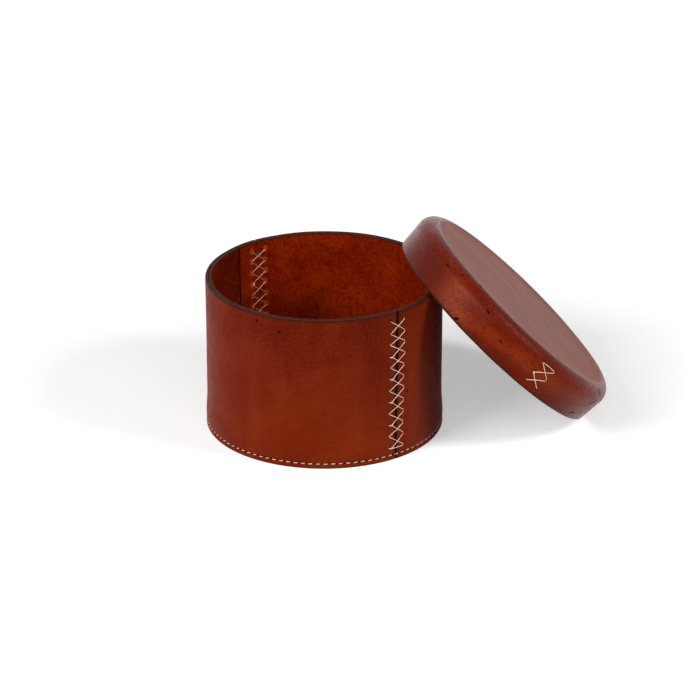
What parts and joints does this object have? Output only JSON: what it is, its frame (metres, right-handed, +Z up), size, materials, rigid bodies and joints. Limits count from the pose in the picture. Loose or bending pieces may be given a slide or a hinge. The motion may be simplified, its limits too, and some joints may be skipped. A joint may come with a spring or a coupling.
{
  "type": "round leather box with lift-off lid",
  "caption": "Round lined leather box with cross-laced seams and a stitched-in base, its moulded lid lifted off and leaning on the rim.",
  "frame": {"origin": "centre of the round base, on the ground", "axes": "+Z up along the axis of the box, -Y to the front, +X to the side where the lid leans"},
  "size_m": [0.2584, 0.1734, 0.1278],
  "materials": {
    "outer_leather": "waxed russet leather, semi-gloss",
    "lining_leather": "russet lining leather, satin",
    "base_leather": "thick russet leather, satin",
    "waxed_thread": "cream waxed thread"
  },
  "bodies": {
    "box": {"outer_wall_front": "outer_leather", "outer_wall_back": "outer_leather", "wall_lining": "lining_leather", "base_pan": "base_leather", "front_seam_lacing": "waxed_thread", "back_seam_lacing": "waxed_thread", "base_stitching": "waxed_thread"},
    "lid": {"lid_cap": "outer_leather", "lid_lining": "lining_leather", "lid_lacing": "waxed_thread"}
  },
  "joints": [
    {"name": "lid_lift", "type": "slide", "parent": "box", "child": "lid", "axis": [0, 0, 1], "range_m": [0, 0.12]}
  ]
}
